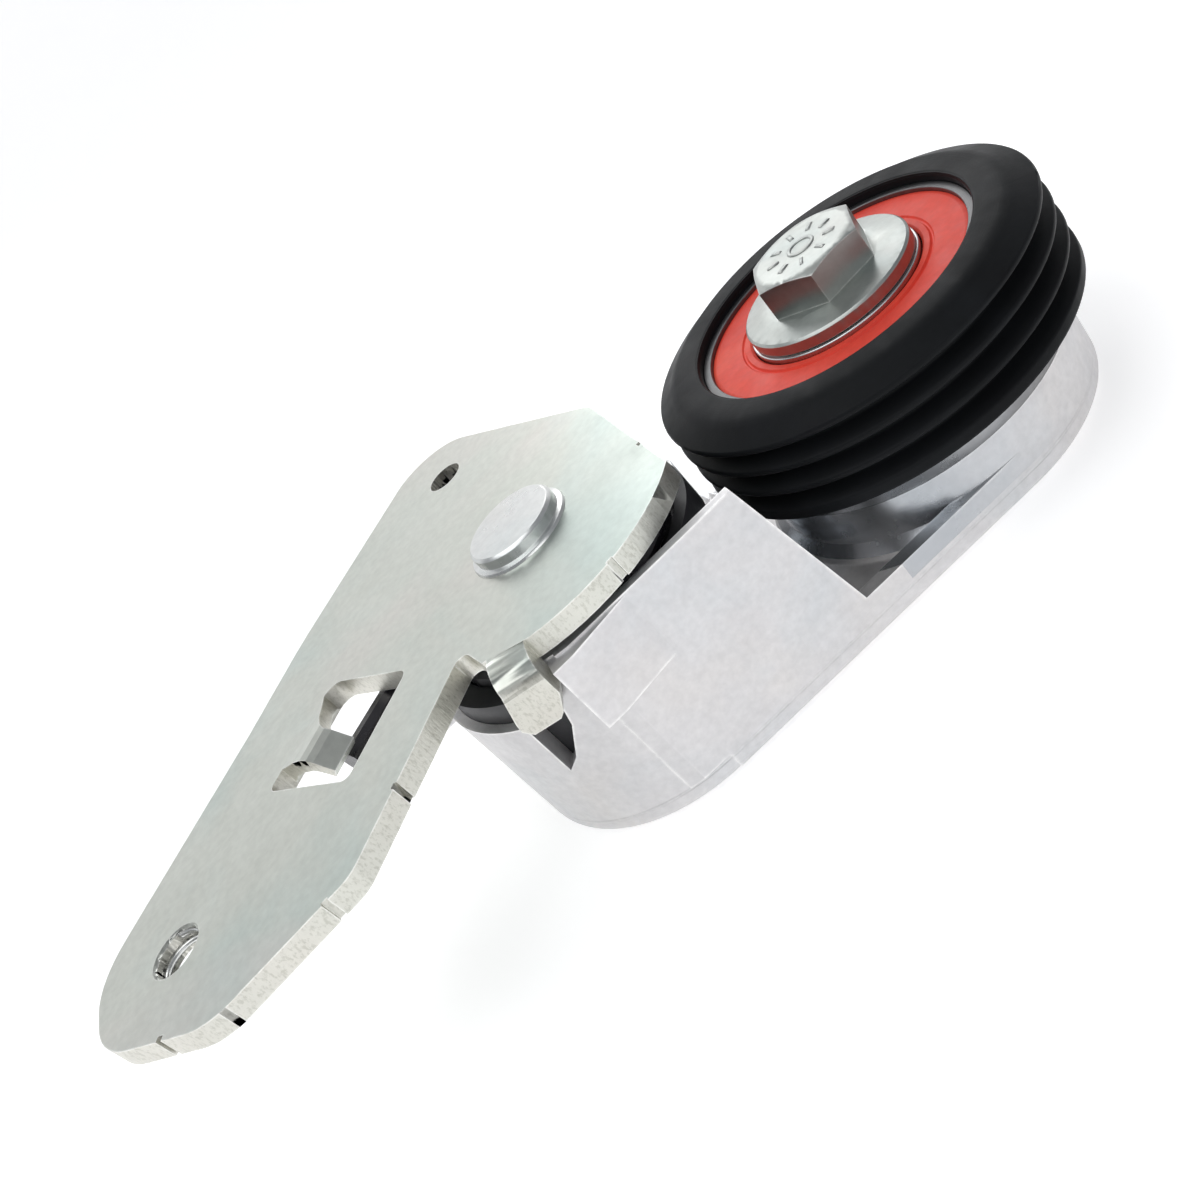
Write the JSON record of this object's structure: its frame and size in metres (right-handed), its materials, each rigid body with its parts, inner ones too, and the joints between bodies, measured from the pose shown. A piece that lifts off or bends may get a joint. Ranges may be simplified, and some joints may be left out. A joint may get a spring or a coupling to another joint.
{
  "type": "belt tensioner idler",
  "caption": "Spring-loaded belt tensioner: stamped mounting plate, cast pivot arm, torsion spring and a ribbed idler pulley on a sealed ball bearing.",
  "frame": {"origin": "axis of the plate's tapped hole, on the plate's rear face", "axes": "+Z out of the plate's front face along every axis of rotation; +X from the arm's pivot towards the pulley, with the arm on its free stop"},
  "size_m": [0.1517, 0.0805, 0.036],
  "materials": {
    "zinc_plated_steel": "satin bright zinc",
    "bolt_zinc": "satin zinc",
    "cast_aluminium": "matte die cast",
    "black_pulley": "satin black",
    "black_spring_steel": "semi-gloss black",
    "black_plastic": "matte",
    "red_seal": "satin",
    "bearing_steel": "ground",
    "bush_bronze": "satin"
  },
  "bodies": {
    "bracket": {"mounting_plate": "zinc_plated_steel", "pivot_pin": "zinc_plated_steel", "friction_disc": "black_plastic", "torsion_spring": "black_spring_steel", "thrust_washer": "bush_bronze"},
    "tension_arm": {"arm_casting": "cast_aluminium", "upper_pivot_bush": "bush_bronze", "lower_pivot_bush": "bush_bronze", "spring_sleeve": "black_plastic", "end_cap": "zinc_plated_steel", "pulley_bolt": "bolt_zinc", "bearing_inner_ring": "bearing_steel"},
    "idler_pulley": {"pulley": "black_pulley", "bearing_outer_ring": "bearing_steel", "front_seal": "red_seal", "rear_seal": "red_seal"},
    "ball_cage": {"bearing_balls": "bearing_steel", "cage_front_half": "bearing_steel", "cage_rear_half": "bearing_steel", "cage_rivets": "bearing_steel"}
  },
  "joints": [
    {"name": "arm_pivot", "type": "hinge", "parent": "bracket", "child": "tension_arm", "pos_m": [0.0614, 0.0177, -0.015], "axis": [0, 0, 1], "range_deg": [0, 50], "stiffness_Nm_per_rad": 6, "springref_deg": -51.57, "deforming": ["torsion_spring"]},
    {"name": "pulley_spin", "type": "hinge", "parent": "tension_arm", "child": "idler_pulley", "pos_m": [0.1116, 0.0177, -0.009], "axis": [0, 0, 1], "continuous": true},
    {"name": "cage_spin", "type": "hinge", "parent": "tension_arm", "child": "ball_cage", "pos_m": [0.1116, 0.0177, -0.009], "axis": [0, 0, 1], "continuous": true}
  ],
  "couplings": [
    {"joint": "cage_spin", "follows": "pulley_spin", "ratio": 0.6158}
  ]
}
